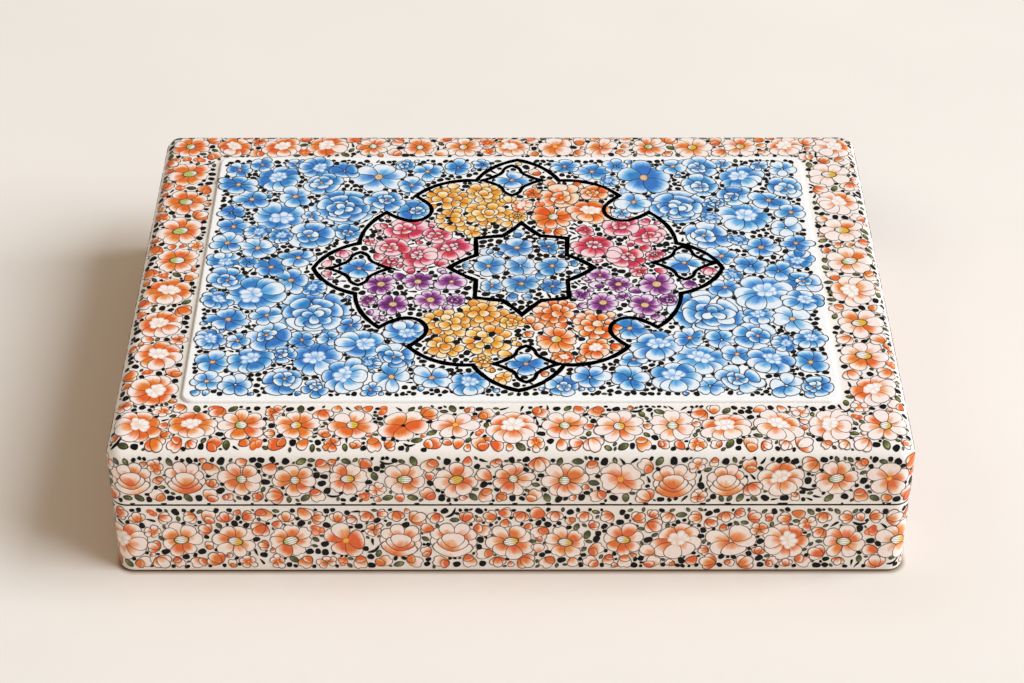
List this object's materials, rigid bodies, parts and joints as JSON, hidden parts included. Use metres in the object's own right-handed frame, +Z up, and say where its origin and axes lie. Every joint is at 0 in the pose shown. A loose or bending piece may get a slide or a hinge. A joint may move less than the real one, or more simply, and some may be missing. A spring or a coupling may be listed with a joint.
{
  "type": "hinged papier mache box",
  "caption": "Shallow rectangular papier mache box with a hinged lid, hand-painted flower pattern, inner collar, cloth lining and brass butt hinges.",
  "frame": {"origin": "centre of the underside, on the surface that the box stands on", "axes": "+X to the right along the length, +Y to the hinged back, +Z up"},
  "size_m": [0.254, 0.184, 0.0522],
  "materials": {
    "lacquered_papier_mache": "ivory gesso ground painted with flowers under clear gloss lacquer",
    "black_card": "black gloss lacquer on card",
    "red_velvet": "short-pile cotton velvet",
    "brass": "stamped and lightly tarnished"
  },
  "bodies": {
    "base": {"base_shell": "lacquered_papier_mache", "base_floor_lining": "red_velvet", "collar_front": "black_card", "collar_back": "black_card", "collar_left": "black_card", "collar_right": "black_card", "hinge_left_base_leaf": "brass", "hinge_right_base_leaf": "brass", "hinge_left_pin": "brass", "hinge_right_pin": "brass", "base_hinge_nails": "brass"},
    "lid": {"lid_shell": "lacquered_papier_mache", "lid_field_panel": "lacquered_papier_mache", "lid_lining": "red_velvet", "hinge_left_lid_leaf": "brass", "hinge_right_lid_leaf": "brass", "lid_hinge_nails": "brass"}
  },
  "joints": [
    {"name": "lid_hinge", "type": "hinge", "parent": "base", "child": "lid", "pos_m": [0, 0.09, 0.0285], "axis": [-1, 0, 0], "range_deg": [0, 105]}
  ]
}
